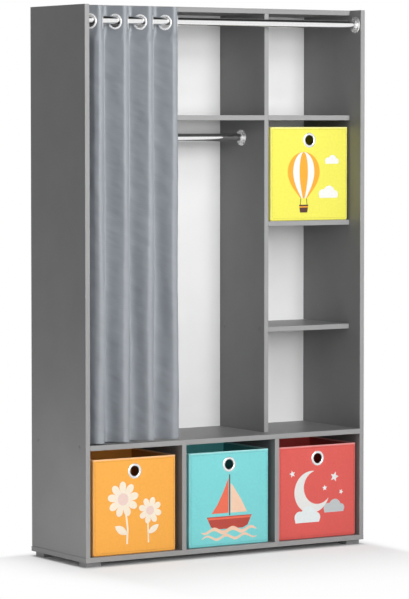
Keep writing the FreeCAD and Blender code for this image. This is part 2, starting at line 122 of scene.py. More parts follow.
# The same two heights: length over which a bend is softened, and how much steeper the cloth starts at the
# side panel. The hem's form is reached sooner than the hem, by its lead.
WAVE_SOFTNESS = (2.5 * MM, 3.5 * MM)
SOFT_SAMPLES = 9
START_TURN = (0.34, 0.10)
START_REACH = 30.0 * MM
HEM_LEAD = 1.25

# Rows: samples along a row, and the search for the steepest heading in radians
ROW_SAMPLES = 2400
STEEPEST_BOUNDS = (0.5, 1.5)
STEEPEST_HALVINGS = 40

# Creases: lean, cells of noise per metre across and along the crease, layer of the noise, weight
CREASES = ((0.62, 26.0, 5.0, 3.1, 1.0), (-0.45, 34.0, 6.0, 8.7, 0.6))
CREASE_DEPTH = 0.9 * MM
CREASE_FADE = 160.0 * MM

# Sway towards the hem: length in metres of one sway across and down the cloth, and where it starts. The
# first share of the width keeps still at the side panel.
SWAY = 2.4 * MM
SWAY_TURN = 6.3
SWAY_SIDEWAYS = (0.19, 0.95, 0.7)
SWAY_FORWARD = (0.23, -0.8, 2.1)
SWAY_GROWTH = 1.3
STILL_EDGE = 0.12

# Fabric boxes
BOX_WALL = 4.0 * MM
BOX_FLOOR = 1.6 * MM
BOX_CORNER = 8.0 * MM
BOX_FOOT_ROUND = 4.0 * MM
LINING_CORNER = 3.0 * MM
CORNER_STEPS = 5
FOOT_STEPS = 4
LINING_STEPS = 3
EDGE_ROUND = 0.5 * MM
EDGE_ANGLE = 40.0
SEAM_TURN = 0.6
SEAM_RISE = 0.7 * MM
BINDING_HEIGHT = 4.5 * MM
BINDING_RISE = 0.6 * MM
FINGER_HOLE = 17.2 * MM
HUB_RADIUS = 16.0 * MM
RING_BAND = 8.0 * MM
RING_RISE = 1.7 * MM
STITCH_INSET = 8.0 * MM
STITCH_PITCH = 4.2 * MM
STITCH_LENGTH = 3.4 * MM
STITCH_WIDTH = 1.0 * MM
BORDER_WIDTH = 9.0 * MM
GROOVE_WIDTH = 2.4 * MM
GROOVE_DEPTH = 0.6 * MM
BOARD_CORNER = 2.5 * MM
HUB_WALL = 0.8 * MM
STITCH_ROUND = 0.3 * MM
FILM = 0.12 * MM
FILM_LIFT = 0.02 * MM

# Carcass: height and depth of the fine rebate where a side panel stands on the base
REBATE_HEIGHT = 1.3 * MM
REBATE_DEPTH = 2.0 * MM

# Floor: share of plain white at a distance before the object, in metres, and how much sooner it comes
# at the sides and behind
FLOOR_WHITENING = ((0.02, 0.50), (0.13, 0.56), (0.30, 0.73), (0.52, 0.90), (0.70, 0.97))
LEFT_PACE = 2.5
RIGHT_PACE = 12.0
REAR_PACE = 12.0
FLOOR_SIZE = 60.0
FLOOR_TONE = 0.86

# Light: the even light, where the dark ceiling starts and ends in what shines, and each lamp's place, aim,
# size, power and fan
EVEN_LIGHT = 0.215
CEILING_TONE = 0.03
CEILING_SPAN = (0.46, 0.64)
LAMPS = {
    "front_lamp": ((-0.3, -5.2, 2.0), (0.0, 0.0, 1.5), (3.4, 3.0), 37.0, math.radians(60)),
    "upper_lamp": ((0.0, -2.6, 2.9), (0.0, 0.0, 1.3), (2.0, 1.2), 35.0, math.pi),
    "left_lamp": ((-1.0, -0.2, 0.12), (-0.52, -0.1, 0.12), (0.8, 0.2), 1.3, math.pi),
    "rear_lamp": ((0.6, 3.5, 2.6), (0.0, 0.2, 0.7), (1.8, 1.4), 50.0, math.pi),
}

# Finishes: ends of a tone or a roughness, dyes of the boxes and inks of their prints
NOISE_SPAN = (0.3, 0.7)
BOARD_FACE = (0.203, 0.220)
# The narrow edges' lighter tones are a painted highlight of the frontal light, not a different edging
BOARD_EDGE_PAINTED_LIGHT = (0.288, 0.308)
BEECH_TONES = ((0.50, 0.32, 0.17), (0.66, 0.46, 0.27))
BEECH_ROUGHNESS = (0.5, 0.65)
SATIN_TONES = ((0.204, 0.222, 0.246), (0.226, 0.245, 0.269))
SATIN_ROUGHNESS = (0.52, 0.60)
FABRIC_ROUGHNESS = (0.72, 0.88)
WAVE_NODE_RADIANS = 20.0
BOX_DYES = {
    "orange": (0.875, 0.40, 0.07),
    "yellow": (0.74, 0.70, 0.10),
    "turquoise": (0.20, 0.63, 0.64),
    "red": (0.69, 0.11, 0.096),
}
INK_DYES = {
    "white": (0.75, 0.75, 0.73),
    "cream": (0.86, 0.76, 0.62),
    "blush": (0.80, 0.60, 0.54),
    "amber": (0.86, 0.36, 0.035),
    "brown": (0.085, 0.036, 0.032),
    "coral": (0.80, 0.16, 0.095),
    "rust": (0.46, 0.07, 0.05),
    "peach": (0.86, 0.58, 0.42),
    "silver": (0.50, 0.54, 0.55),
    "pale": (0.74, 0.80, 0.80),
}


# Selecting and modelling

def clear_selection():
    bpy.ops.object.select_all(action="DESELECT")


def take(piece):
    """Makes one piece the only selected and the active one."""
    clear_selection()
    piece.select_set(True)
    bpy.context.view_layer.objects.active = piece


def open_mesh(piece):
    take(piece)
    bpy.ops.object.mode_set(mode="EDIT")


def close_mesh():
    bpy.ops.object.mode_set(mode="OBJECT")


def pick(piece, kind, test):
    """Selects the faces or edges of the open mesh that pass a test."""
    bpy.ops.mesh.select_mode(type=kind)
    bpy.ops.mesh.select_all(action="DESELECT")
    mesh = bmesh.from_edit_mesh(piece.data)
    mesh.normal_update()
    for part in mesh.faces if kind == "FACE" else mesh.edges:
        if test(part):
            part.select_set(True)
    mesh.select_flush_mode()
    bmesh.update_edit_mesh(piece.data)


def faces_up(face):
    return face.normal.z > FACING_UP


def middle_of(part):
    """The middle of a face or an edge."""
    return sum((corner.co for corner in part.verts), Vector()) / len(part.verts)


def fix_place(piece):
    """Puts a piece's place, turn and size into its mesh."""
    take(piece)
    bpy.ops.object.transform_apply(location=True, rotation=True, scale=True)


def new_block(name, low, high):
    """A block between two corners, as a start for a piece."""
    clear_selection()
    bpy.ops.mesh.primitive_cube_add(size=1, location=(low + high) / 2, scale=high - low)
    piece = bpy.context.object
    piece.name = name
    fix_place(piece)
    return piece


def apply_modifier(piece, kind, **settings):
    """Adds a modifier, sets it and applies it."""
    take(piece)
    modifier = piece.modifiers.new(kind.title(), kind)
    for key, value in settings.items():
        setattr(modifier, key, value)
    bpy.ops.object.modifier_apply(modifier=modifier.name)


def smooth(piece, degrees):
    take(piece)
    bpy.ops.object.shade_smooth_by_angle(angle=math.radians(degrees))


def copy_piece(piece, offset):
    """A copy with its own mesh, moved by an offset in the mesh."""
    copy = piece.copy()
    copy.data = piece.data.copy()
    bpy.context.scene.collection.objects.link(copy)
    open_mesh(copy)
    bpy.ops.mesh.select_all(action="SELECT")
    bpy.ops.transform.translate(value=offset)
    close_mesh()
    return copy


def join(pieces, name):
    """Joins pieces into the first of them."""
    clear_selection()
    for piece in pieces:
        piece.select_set(True)
    bpy.context.view_layer.objects.active = pieces[0]
    bpy.ops.object.join()
    pieces[0].name = name
    return pieces[0]


def set_finish(piece, *materials):
    """Gives a piece its finishes; with several, each face keeps the place in the list that it has."""
    places = [face.material_index for face in piece.data.polygons]
    piece.data.materials.clear()
    for material in materials:
        piece.data.materials.append(material)
    if len(materials) > 1:
        piece.data.polygons.foreach_set("material_index", places)


# Finishes

def new_finish(name):
    """A material with its node tree and its shader."""
    material = bpy.data.materials.new(name)
    material.use_nodes = True
    tree = material.node_tree
    return material, tree, tree.nodes["Principled BSDF"]


def add_node(tree, kind, inputs=None, **settings):
    made = tree.nodes.new(kind)
    for key, value in settings.items():
        setattr(made, key, value)
    for key, value in (inputs or {}).items():
        made.inputs[key].default_value = value
    return made


def grey(value):
    return (value, value, value, 1.0)


def rgba(colour):
    return (colour[0], colour[1], colour[2], 1.0)


def scaled(colour, factor):
    return tuple(min(1.0, channel * factor) for channel in colour)


def noise_on(tree, vector, scale, detail):
    made = add_node(tree, "ShaderNodeTexNoise", {"Scale": scale, "Detail": detail})
    tree.links.new(vector, made.inputs["Vector"])
    return made.outputs["Fac"]


def ramp(tree, factor, low, high, start=NOISE_SPAN[0], end=NOISE_SPAN[1]):
    """Colours from low to high as a factor goes from start to end."""
    made = add_node(tree, "ShaderNodeValToRGB")
    made.color_ramp.elements[0].position = start
    made.color_ramp.elements[0].color = low
    made.color_ramp.elements[1].position = end
    made.color_ramp.elements[1].color = high
    tree.links.new(factor, made.inputs["Fac"])
    return made.outputs["Color"]


def spread(tree, factor, low, high):
    """A number from low to high as a factor goes over the span of a noise."""
    start, end = NOISE_SPAN
    made = add_node(
        tree, "ShaderNodeMapRange", {"From Min": start, "From Max": end, "To Min": low, "To Max": high}
    )
    tree.links.new(factor, made.inputs["Value"])
    return made.outputs["Result"]


def sum_of(tree, *values, operation="ADD"):
    """Values put together one after another by a math node."""
    total = values[0]
    for value in values[1:]:
        made = add_node(tree, "ShaderNodeMath", operation=operation)
        for socket, source in zip(made.inputs, (total, value)):
            if isinstance(source, (int, float)):
                socket.default_value = source
            else:
                tree.links.new(source, socket)
        total = made.outputs[0]
    return total


def mix(tree, factor, first, second):
    made = add_node(tree, "ShaderNodeMix", data_type="RGBA")
    tree.links.new(factor, made.inputs[0])
    tree.links.new(first, made.inputs[6])
    tree.links.new(second, made.inputs[7])
    return made.outputs[2]


def bump(tree, shader, height, distance, strength):
    """Adds a relief over the one that the shader already has."""
    made = add_node(tree, "ShaderNodeBump", {"Distance": distance, "Strength": strength})
    tree.links.new(height, made.inputs["Height"])
    for link in shader.inputs["Normal"].links:
        tree.links.new(link.from_socket, made.inputs["Normal"])
    tree.links.new(made.outputs["Normal"], shader.inputs["Normal"])


def slanted(tree, vector, degrees, stretch):
    """Coordinates turned in their first plane and drawn out along the turned second axis."""
    made = add_node(tree, "ShaderNodeMapping", vector_type="TEXTURE")
    made.inputs["Rotation"].default_value = (0, 0, math.radians(degrees))
    made.inputs["Scale"].default_value = (1, stretch, 1)
    tree.links.new(vector, made.inputs["Vector"])
    return made.outputs["Vector"]


def board_finish(name, roughness, gloss):
    """Grey decor board: fine pearl grain on the faces; the faces that look to the front or back, the
    narrow edges, get a lighter tone, a painted highlight.
    """
    material, tree, shader = new_finish(name)
    place = add_node(tree, "ShaderNodeTexCoord")
    clouds = noise_on(tree, place.outputs["Object"], 7.0, 3.0)
    pearl = noise_on(tree, place.outputs["Object"], 1100.0, 2.0)
    face = ramp(tree, clouds, *(grey(tone) for tone in BOARD_FACE))
    # Painted highlight: faces that look to the front or back are coloured lighter than the others
    band = ramp(tree, clouds, *(grey(tone) for tone in BOARD_EDGE_PAINTED_LIGHT))
    facing = add_node(tree, "ShaderNodeSeparateXYZ")
    tree.links.new(place.outputs["Normal"], facing.inputs[0])
    across = sum_of(tree, facing.outputs["Y"], facing.outputs["Y"], operation="MULTIPLY")
    edge_light_share = add_node(tree, "ShaderNodeMapRange", {"From Min": 0.42, "From Max": 0.58})
    tree.links.new(across, edge_light_share.inputs["Value"])
    tree.links.new(mix(tree, edge_light_share.outputs["Result"], face, band), shader.inputs["Base Color"])
    tree.links.new(spread(tree, pearl, roughness - 0.06, roughness + 0.06), shader.inputs["Roughness"])
    shader.inputs["Specular IOR Level"].default_value = gloss
    bump(tree, shader, pearl, 0.0001, 0.25)
    return material


def sheet_finish(name, tone, roughness, grain):
    """A plain faced sheet or moulding with faint clouding and a fine surface grain."""
    material, tree, shader = new_finish(name)
    place = add_node(tree, "ShaderNodeTexCoord")
    clouds = noise_on(tree, place.outputs["Object"], 9.0, 2.0)
    fine = noise_on(tree, place.outputs["Object"], grain, 2.0)
    tree.links.new(ramp(tree, clouds, grey(tone * 0.97), grey(tone)), shader.inputs["Base Color"])
    tree.links.new(spread(tree, fine, roughness - 0.05, roughness + 0.05), shader.inputs["Roughness"])
    shader.inputs["Specular IOR Level"].default_value = 0.3
    bump(tree, shader, fine, 0.0001, 0.2)
    return material


def metal_finish(name, tone, roughness, grain, metal=1.0):
    """Plated metal with faint unevenness in its polish."""
    material, tree, shader = new_finish(name)
    place = add_node(tree, "ShaderNodeTexCoord")
    fine = noise_on(tree, place.outputs["Object"], grain, 2.0)
    tree.links.new(ramp(tree, fine, grey(tone * 0.96), grey(tone)), shader.inputs["Base Color"])
    tree.links.new(spread(tree, fine, roughness * 0.8, roughness * 1.2), shader.inputs["Roughness"])
    shader.inputs["Metallic"].default_value = metal
    return material


def beech_finish():
    """Turned wood with grain along its length."""
    material, tree, shader = new_finish("beech_wood")
    place = add_node(tree, "ShaderNodeTexCoord")
    along = add_node(tree, "ShaderNodeMapping", {"Scale": (1.0, 1.0, 0.05)})
    tree.links.new(place.outputs["Object"], along.inputs["Vector"])
    grain = noise_on(tree, along.outputs["Vector"], 600.0, 4.0)
    tones = ramp(tree, grain, *(rgba(tone) for tone in BEECH_TONES))
    tree.links.new(tones, shader.inputs["Base Color"])
    tree.links.new(spread(tree, grain, *BEECH_ROUGHNESS), shader.inputs["Roughness"])
    bump(tree, shader, grain, 0.0002, 0.3)
    return material


def thread_waves(tree, vector, radians_per_metre, axis):
    """Fine parallel threads along one axis of a set of coordinates."""
    made = add_node(
        tree,
        "ShaderNodeTexWave",
        {"Scale": radians_per_metre / WAVE_NODE_RADIANS, "Distortion": 0.6, "Detail": 1.0},
        bands_direction=axis,
    )
    tree.links.new(vector, made.inputs["Vector"])
    return made.outputs["Fac"]


def satin_finish():
    """Blue grey curtain satin: fine weave on the cloth's own map, soft sheen, slight shade changes."""
    material, tree, shader = new_finish("curtain_satin")
    place = add_node(tree, "ShaderNodeTexCoord")
    threads = thread_waves(tree, place.outputs["UV"], 1600.0, "X")
    picks = thread_waves(tree, place.outputs["UV"], 1100.0, "Y")
    clouds = noise_on(tree, place.outputs["UV"], 14.0, 3.0)
    tones = ramp(tree, clouds, *(rgba(tone) for tone in SATIN_TONES))
    tree.links.new(tones, shader.inputs["Base Color"])
    weave = sum_of(tree, threads, picks)
    tree.links.new(spread(tree, clouds, *SATIN_ROUGHNESS), shader.inputs["Roughness"])
    shader.inputs["Specular IOR Level"].default_value = 0.9
    shader.inputs["Sheen Weight"].default_value = 0.02
    shader.inputs["Sheen Roughness"].default_value = 0.4
    creases = noise_on(tree, slanted(tree, place.outputs["UV"], 72.0, 3.0), 26.0, 1.5)
    bump(tree, shader, creases, 0.008, 0.5)
    bump(tree, shader, weave, 0.0002, 0.2)
    return material


def fabric_finish(name, colour, thread_scale=620.0):
    """Pressed box fabric: crossed fibres in the piece's own place, mottled like linen."""
    material, tree, shader = new_finish(name)
    place = add_node(tree, "ShaderNodeTexCoord")
    threads = [thread_waves(tree, place.outputs["Object"], thread_scale, axis) for axis in "XYZ"]
    weave = sum_of(tree, *threads)
    mottle = noise_on(tree, place.outputs["Object"], 120.0, 4.0)
    fibres = noise_on(tree, place.outputs["Object"], 700.0, 2.0)
    coarse_share = sum_of(tree, mottle, 0.6, operation="MULTIPLY")
    fine_share = sum_of(tree, fibres, 0.4, operation="MULTIPLY")
    tone = sum_of(tree, coarse_share, fine_share)
    tree.links.new(
        ramp(tree, tone, rgba(scaled(colour, 0.96)), rgba(scaled(colour, 1.03)), 0.36, 0.64),
        shader.inputs["Base Color"],
    )
    tree.links.new(spread(tree, fibres, *FABRIC_ROUGHNESS), shader.inputs["Roughness"])
    shader.inputs["Specular IOR Level"].default_value = 0.25
    shader.inputs["Sheen Weight"].default_value = 0.08
    wrinkles = noise_on(tree, place.outputs["Object"], 16.0, 1.5)
    bump(tree, shader, wrinkles, 0.006, 0.6)
    bump(tree, shader, sum_of(tree, weave, mottle), 0.0003, 0.16)
    return material


FINISHES = {
    "grey_board": board_finish("grey_board_decor", 0.42, 0.28),
    "white_back": sheet_finish("white_faced_sheet", 0.75, 0.5, 500.0),
    "white_plastic": sheet_finish("white_strip_plastic", 0.82, 0.4, 900.0),
    "grey_plastic": sheet_finish("grey_moulded_plastic", 0.19, 0.45, 900.0),
    "chrome": metal_finish("polished_chrome", 0.86, 0.06, 180.0),
    "steel": metal_finish("plated_steel", 0.58, 0.3, 900.0),
    "beech": beech_finish(),
    "grey_card": sheet_finish("grey_pressed_card", 0.33, 0.8, 700.0),
    "curtain_fabric": satin_finish(),
}
HIGHLIT_TRIMS = {}
SHADED_LININGS = {}
SHADED_THREADS = {}
for colour, dye in BOX_DYES.items():
    fullest = max(dye)
    # The lining dye is darkened, more in the weaker channels: painted shade of the box's inside, which is
    # the same fabric
    shaded_dye = tuple(channel * (0.40 + 0.30 * channel / fullest) for channel in dye)
    # The trim tone is lighter than the dye: a painted highlight on the rim and outer corner seams
    light = tuple(channel + 0.2 * (0.95 - channel) for channel in dye)
    FINISHES[colour + "_fabric"] = fabric_finish(colour + "_box_fabric", dye)
    HIGHLIT_TRIMS[colour] = fabric_finish(colour + "_box_trim_painted_highlight", light)
    SHADED_LININGS[colour] = fabric_finish(colour + "_box_lining_painted_shade", shaded_dye)
    # Stitches are real, but their thread is darkened to 0.6 of the dye as painted shade along the seam
    SHADED_THREADS[colour] = fabric_finish(colour + "_box_thread_painted_shade", scaled(dye, 0.6), 1500.0)
INKS = {ink: fabric_finish("print_" + ink, dye) for ink, dye in INK_DYES.items()}

# Curtain eyelets: part metal, part white diffuse; the white share is a painted reflection standing in for
# the chrome's bright mirror image
CHROME_PAINTED_REFLECTION = metal_finish("chrome_painted_reflection", 0.94, 0.28, 400.0, 0.4)
MATT_BOARD = board_finish("grey_board_matt", 0.7, 0.03)
BRIGHT_CHROME = metal_finish("bright_chrome", 0.92, 0.18, 300.0, 0.7)
RING_NICKEL = metal_finish("ring_nickel", 0.78, 0.22, 400.0, 0.7)
# Dark hub: the same metal as the ring, toned down as painted shade of the dark finger hole
HUB_PAINTED_SHADE = metal_finish("hub_painted_shade", 0.22, 0.5, 400.0)

for row in frame["record"]["subparts"]:
    finish = FINISHES[row["material_slot"]]
    if row["node"].startswith("curtain_eyelet"):
        # The curtain eyelets take the chrome with its painted white reflection
        finish = CHROME_PAINTED_REFLECTION
    elif row["node"].endswith("flanges"):
        finish = BRIGHT_CHROME
    elif row["node"] == "top_panel":
        finish = MATT_BOARD
    set_finish(frame["nodes"][row["node"]], finish)


# Carcass

def make_side_panel(node, inward):
    """A side panel as its solid, with a fine rebate along its foot where it stands on the base."""
    low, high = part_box(node)
    mesh = frame["nodes"][node].data.copy()
    mesh.name = node + "_rebated"
    panel = bpy.data.objects.new(node + "_rebated", mesh)
    bpy.context.scene.collection.objects.link(panel)
    open_mesh(panel)
    bpy.ops.mesh.select_all(action="SELECT")
    bpy.ops.mesh.remove_doubles(threshold=WELD)
    bpy.ops.mesh.customdata_custom_splitnormals_clear()
    close_mesh()
    x_outer = low.x if inward > 0 else high.x
    x_cut = sorted((x_outer - inward * MM, x_outer + inward * REBATE_DEPTH))
    cut_low = Vector((x_cut[0], low.y - MM, low.z - MM))
    cut_high = Vector((x_cut[1], high.y + MM, low.z + REBATE_HEIGHT))
    cutter = new_block("rebate_cutter", cut_low, cut_high)
    apply_modifier(panel, "BOOLEAN", object=cutter, operation="DIFFERENCE", solver="EXACT")
    bpy.data.objects.remove(cutter)
    smooth(panel, 30.0)
    set_finish(panel, FINISHES["grey_board"])
    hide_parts(node)
    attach(panel, "carcass")


make_side_panel("left_side_panel", 1)
make_side_panel("right_side_panel", -1)


# Curtain

def eased(share):
    """A share from 0 to 1 with soft ends."""
    share = np.clip(share, 0.0, 1.0)
    return share * share * (3.0 - 2.0 * share)


def blended(first, second, share):
    return first + (second - first) * share


def wave_at(place, down):
    """The heading at a place along the waves: straight from bend to bend, and bowed from wave to wave."""
    places, top_headings, hem_headings = np.array(WAVE_BENDS).T
    bends = places * MM - BOW_PLACE
    headings = blended(top_headings, hem_headings, down)
    fullest = blended(*BOW_HEADING, down)
    place = np.mod(place - BOW_PLACE, WAVE_LENGTH)
    bent = np.interp(place, bends, headings)
    leaving = blended(fullest, headings[0], (place / bends[0]) ** 2)
    coming = blended(fullest, headings[-1], ((WAVE_LENGTH - place) / (WAVE_LENGTH - bends[-1])) ** 2)
    return np.where(place < bends[0], leaving, np.where(place > bends[-1], coming, bent))


def wave_heading(along, down):
    """The heading of the open cloth, with soft bends and a steeper start at the side panel."""
    softness = blended(*WAVE_SOFTNESS, down)
    from_eyelet = np.maximum(along - FLAT_RUN / 2, 0.0)
    shifts = np.linspace(-softness / 2, softness / 2, SOFT_SAMPLES)
    waves = sum(wave_at(from_eyelet + shift, down) for shift in shifts) / SOFT_SAMPLES
    at_start = 1.0 - eased(2.0 * from_eyelet / START_REACH - 1.0)
    return waves * (1.0 + blended(*START_TURN, down) * at_start)


def eyelet_and_turn(along):
    """The number of the eyelet before a place on the cloth, and how far the bend after it has turned."""
    number = np.clip(np.floor(along / HALF_WAVE), 0, EYELET_COUNT - 1)
    return number, (along - number * HALF_WAVE - FLAT_RUN) / FOLD_BEND


def fold_heading(along, opened, down):
    """The heading along a row of the cloth: flat runs that turn at each bend and open into waves."""
    number, turn = eyelet_and_turn(along)
    way = np.where(number % 2 == 0, -1.0, 1.0)
    folded = way * (1 - 2 * np.clip(turn, 0.0, 1.0))
    return blended(folded, wave_heading(along, down), opened)


def fold_row(along, opened, down):
    """Places and headings along a row from above, as steep as its eyelet pitch needs."""
    fine = np.linspace(0.0, FLAT_WIDTH, ROW_SAMPLES)
    share = fold_heading(fine, opened, down)
    pitch = blended(EYELET_PITCH, HEM_PITCH, down)
    inner = np.flatnonzero((fine > FLAT_RUN / 2) & (fine < FLAT_WIDTH - FLAT_RUN / 2))
    low, high = STEEPEST_BOUNDS
    for _ in range(STEEPEST_HALVINGS):
        steepest = (low + high) / 2
        if np.cos(steepest * share[inner]).mean() * HALF_WAVE > pitch:
            low = steepest
        else:
            high = steepest
    heading = steepest * share
    step = fine[1] - fine[0]
    x = np.cumsum(np.cos(heading)) * step
    y = np.cumsum(np.sin(heading)) * step
    x = x - np.interp(FLAT_RUN / 2, fine, x)
    y = y - np.interp(fine, fine[[inner[0], inner[-1]]], y[[inner[0], inner[-1]]])
    y = y - opened * (y[inner].min() + y[inner].max()) / 2
    return [np.interp(along, fine, values) for values in (x, y, heading)]


def crease_at(along, height):
    """Soft diagonal creases of the hanging cloth."""
    depth = 0.0
    for lean, fine, coarse, layer, weight in CREASES:
        place = Vector((fine * (along + lean * height), coarse * (height - lean * along), layer))
        depth += weight * noise.noise(place)
    return depth


def sway_at(along, height, sway):
    """The slow sway of the hanging cloth in one direction."""
    across_length, down_length, start = sway
    return SWAY * np.sin(SWAY_TURN * (along / across_length + height / down_length) + start)


def row_height(rise, low, high):
    """The height of the cloth's rows, which lie closer in the header."""
    z_header = high.z - HEADER_HEIGHT
    body_share = 1.0 - HEADER_SHARE
    return np.where(
        rise < body_share,
        low.z + (z_header - low.z) * rise / body_share,
        z_header + (high.z - z_header) * (rise - body_share) / HEADER_SHARE,
    )


def fold_cloth(across, height, z_header, z_hem):
    """Places of the cloth about its first eyelet, from above: folded row by row, creased and swayed."""
    along = across * FLAT_WIDTH
    below = z_header - height
    down = eased(HEM_LEAD * below / (z_header - z_hem))
    opened = eased(below / OPENING_HEIGHT)
    x, y, heading = np.zeros((3, len(along)))
    for level in np.unique(height):
        row = height == level
        x[row], y[row], heading[row] = fold_row(along[row], opened[row][0], down[row][0])
    creased = np.array([crease_at(a, h) for a, h in zip(along, height)])
    depth = CREASE_DEPTH * creased * eased(below / CREASE_FADE)
    hang = down**SWAY_GROWTH
    x_sway = hang * sway_at(along, height, SWAY_SIDEWAYS) * eased(across / STILL_EDGE)
    y_sway = hang * sway_at(along, height, SWAY_FORWARD) / 2
    return x - depth * np.sin(heading) + x_sway, y + depth * np.cos(heading) + y_sway


def thicken(cloth, hem_top):
    """Gives the cloth its thickness, and more of it in the turned hem."""
    hem = cloth.vertex_groups.new(name="hem")
    thin = CLOTH_THICKNESS / HEM_THICKNESS
    for vertex in cloth.data.vertices:
        hem.add([vertex.index], 1.0 if vertex.co.z < hem_top else thin, "REPLACE")
    apply_modifier(
        cloth, "SOLIDIFY", thickness=HEM_THICKNESS, offset=0.0, vertex_group="hem", use_even_offset=False
    )


def make_curtain():
    """The gathered curtain: a grid folded round its eyelets, creased, holed, hemmed and thickened."""
    low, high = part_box("curtain_cloth")
    eyelets = [sum(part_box(node), Vector()) / 2 for node in EYELET_NODES]
    clear_selection()
    bpy.ops.mesh.primitive_grid_add(
        x_subdivisions=EYELET_COUNT * COLUMNS_PER_EYELET,
        y_subdivisions=CLOTH_ROWS,
        size=1,
        location=(0, 0, 0),
    )
    cloth = bpy.context.object
    cloth.name = "curtain"
    mesh = cloth.data
    flat = np.zeros(len(mesh.vertices) * 3)
    mesh.vertices.foreach_get("co", flat)
    across, rise = flat.reshape(-1, 3)[:, :2].T + 0.5
    along = across * FLAT_WIDTH
    height = row_height(rise, low, high)
    x, y = fold_cloth(across, height, high.z - HEADER_HEIGHT, low.z)
    places = np.stack([x + eyelets[0].x, y + eyelets[0].y, height], axis=1)
    mesh.vertices.foreach_set("co", places.ravel())
    number, turn = eyelet_and_turn(along)
    share = (number + eased(turn)) / (EYELET_COUNT - 1)
    kept = mesh.attributes.new("eyelet_share", "FLOAT", "POINT")
    kept.data.foreach_set("value", share.astype(np.float32))
    corners = np.zeros(len(mesh.loops), dtype=np.int32)
    mesh.loops.foreach_get("vertex_index", corners)
    cloth_map = np.stack([along[corners], height[corners]], axis=1)
    mesh.uv_layers.active.data.foreach_set("uv", cloth_map.ravel())
    cut_eyelet_holes(cloth, eyelets)
    thicken(cloth, low.z + HEM_HEIGHT)
    smooth(cloth, 60.0)
    set_finish(cloth, FINISHES["curtain_fabric"])
    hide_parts("curtain_cloth")
    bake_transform(cloth)
    shares = np.zeros(len(cloth.data.vertices), dtype=np.float32)
    cloth.data.attributes["eyelet_share"].data.foreach_get("value", shares)


def cut_eyelet_holes(cloth, eyelets):
    """Takes out the cloth inside each eyelet and rounds the hole's edge."""
    open_mesh(cloth)

    def inside(face):
        centre = middle_of(face)
        return min((centre - eyelet).length for eyelet in eyelets) < EYELET_CLEAR

    pick(cloth, "FACE", inside)
    bpy.ops.mesh.delete(type="FACE")
    mesh = bmesh.from_edit_mesh(cloth.data)
    for corner in mesh.verts:
        if corner.is_boundary:
            nearest = min(eyelets, key=lambda eyelet: (corner.co - eyelet).length)
            reach = corner.co - nearest
            if reach.length < HOLE_RIM:
                corner.co = nearest + reach.normalized() * EYELET_HOLE
    bmesh.update_edit_mesh(cloth.data)
    close_mesh()


make_curtain()


# Fabric boxes

def box_room(colour):
    """The lowest and highest corner of a box."""
    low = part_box(colour + "_box_cover")[0]
    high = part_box(colour + "_box_lining")[1]
    return low, high


def upright(edge):
    """Whether an edge of a box or of its base board stands upright."""
    return abs(edge.verts[0].co.z - edge.verts[1].co.z) > MM


def round_edges(piece, steps):
    """Breaks the sharp edges of a piece."""
    apply_modifier(
        piece,
        "BEVEL",
        width=EDGE_ROUND,
        segments=steps,
        limit_method="ANGLE",
        angle_limit=math.radians(EDGE_ANGLE),
    )


def make_box_shell(low, high, hole_centre):
    """A sewn box: hollow, with round corners and foot, raised corner seams, bound rim and finger hole."""
    box = new_block("box_shell", low, high)
    centre = (low + high) / 2
    inner_half = (high - low) / 2 - Vector((1, 1, 0)) * (BOX_WALL - NEAR)
    open_mesh(box)
    pick(box, "FACE", faces_up)
    bpy.ops.mesh.inset(thickness=BOX_WALL)
    floor_drop = high.z - low.z - BOX_FLOOR
    bpy.ops.mesh.extrude_region_move(TRANSFORM_OT_translate={"value": (0, 0, -floor_drop)})

    def inner_corner(edge):
        reach = edge.verts[0].co - centre
        return upright(edge) and abs(reach.x) < inner_half.x and abs(reach.y) < inner_half.y

    pick(box, "EDGE", inner_corner)
    bpy.ops.mesh.bevel(offset=LINING_CORNER, segments=LINING_STEPS, affect="EDGES")
    pick(box, "EDGE", lambda edge: upright(edge) and not inner_corner(edge))
    bpy.ops.mesh.bevel(offset=BOX_CORNER, segments=CORNER_STEPS, affect="EDGES")
    z_foot = low.z + NEAR
    pick(box, "EDGE", lambda edge: all(corner.co.z < z_foot for corner in edge.verts))
    bpy.ops.mesh.bevel(offset=BOX_FOOT_ROUND, segments=FOOT_STEPS, affect="EDGES")

    def outer(face):
        outward = middle_of(face) - centre
        facing = face.normal.x * outward.x + face.normal.y * outward.y
        return abs(face.normal.z) < FACING_SIDEWAYS and facing > 0

    def corner_strip(face):
        return outer(face) and min(abs(face.normal.x), abs(face.normal.y)) > SEAM_TURN

    for height in (high.z - BINDING_HEIGHT, high.z - 2 * BINDING_HEIGHT, low.z + 2 * BINDING_HEIGHT):
        bpy.ops.mesh.select_all(action="SELECT")
        bpy.ops.mesh.bisect(plane_co=(0, 0, height), plane_no=(0, 0, 1))
    pick(box, "FACE", corner_strip)
    bpy.ops.mesh.extrude_region_shrink_fatten(TRANSFORM_OT_shrink_fatten={"value": SEAM_RISE})
    z_binding = high.z - BINDING_HEIGHT
    pick(box, "FACE", lambda face: outer(face) and middle_of(face).z > z_binding)
    bpy.ops.mesh.extrude_region_shrink_fatten(TRANSFORM_OT_shrink_fatten={"value": BINDING_RISE})
    close_mesh()
    round_edges(box, 2)
    clear_selection()
    bpy.ops.mesh.primitive_cylinder_add(
        vertices=48, radius=FINGER_HOLE, depth=6 * BOX_WALL, location=hole_centre, rotation=QUARTER_TURN
    )
    punch = bpy.context.object
    fix_place(punch)
    apply_modifier(box, "BOOLEAN", object=punch, operation="DIFFERENCE", solver="EXACT")
    bpy.data.objects.remove(punch)
    smooth(box, 30.0)
    part_finishes(box, low, high)
    return box


